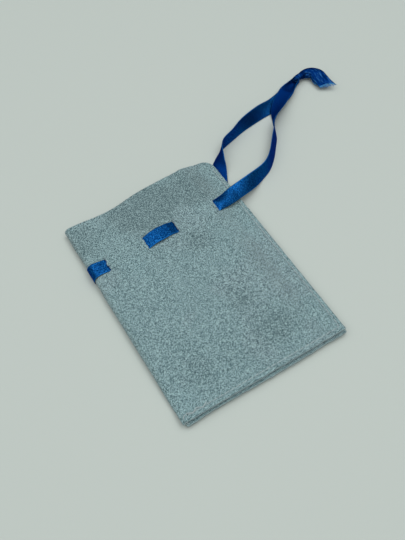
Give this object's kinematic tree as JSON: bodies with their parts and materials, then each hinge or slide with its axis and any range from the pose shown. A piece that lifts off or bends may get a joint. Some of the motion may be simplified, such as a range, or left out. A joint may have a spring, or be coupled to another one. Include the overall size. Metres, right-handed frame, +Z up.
{
  "type": "drawstring pouch",
  "caption": "Flat suede drawstring pouch lying on its back panel, with one folded side and stitched edges, closed by a knotted satin ribbon threaded through slits below the mouth.",
  "frame": {"origin": "under the middle of the pouch's outline, on the surface that it lies on", "axes": "+X from the folded side to the sewn side, +Y from the bottom seam to the mouth, +Z up out of the front panel"},
  "size_m": [0.1606, 0.1313, 0.0092],
  "materials": {
    "suede": "napped suede, matte",
    "ribbon": "satin",
    "thread": "matte"
  },
  "bodies": {
    "root": {"suede_body": "suede", "ribbon": "ribbon", "needle_thread": "thread", "bobbin_thread": "thread"}
  },
  "joints": []
}
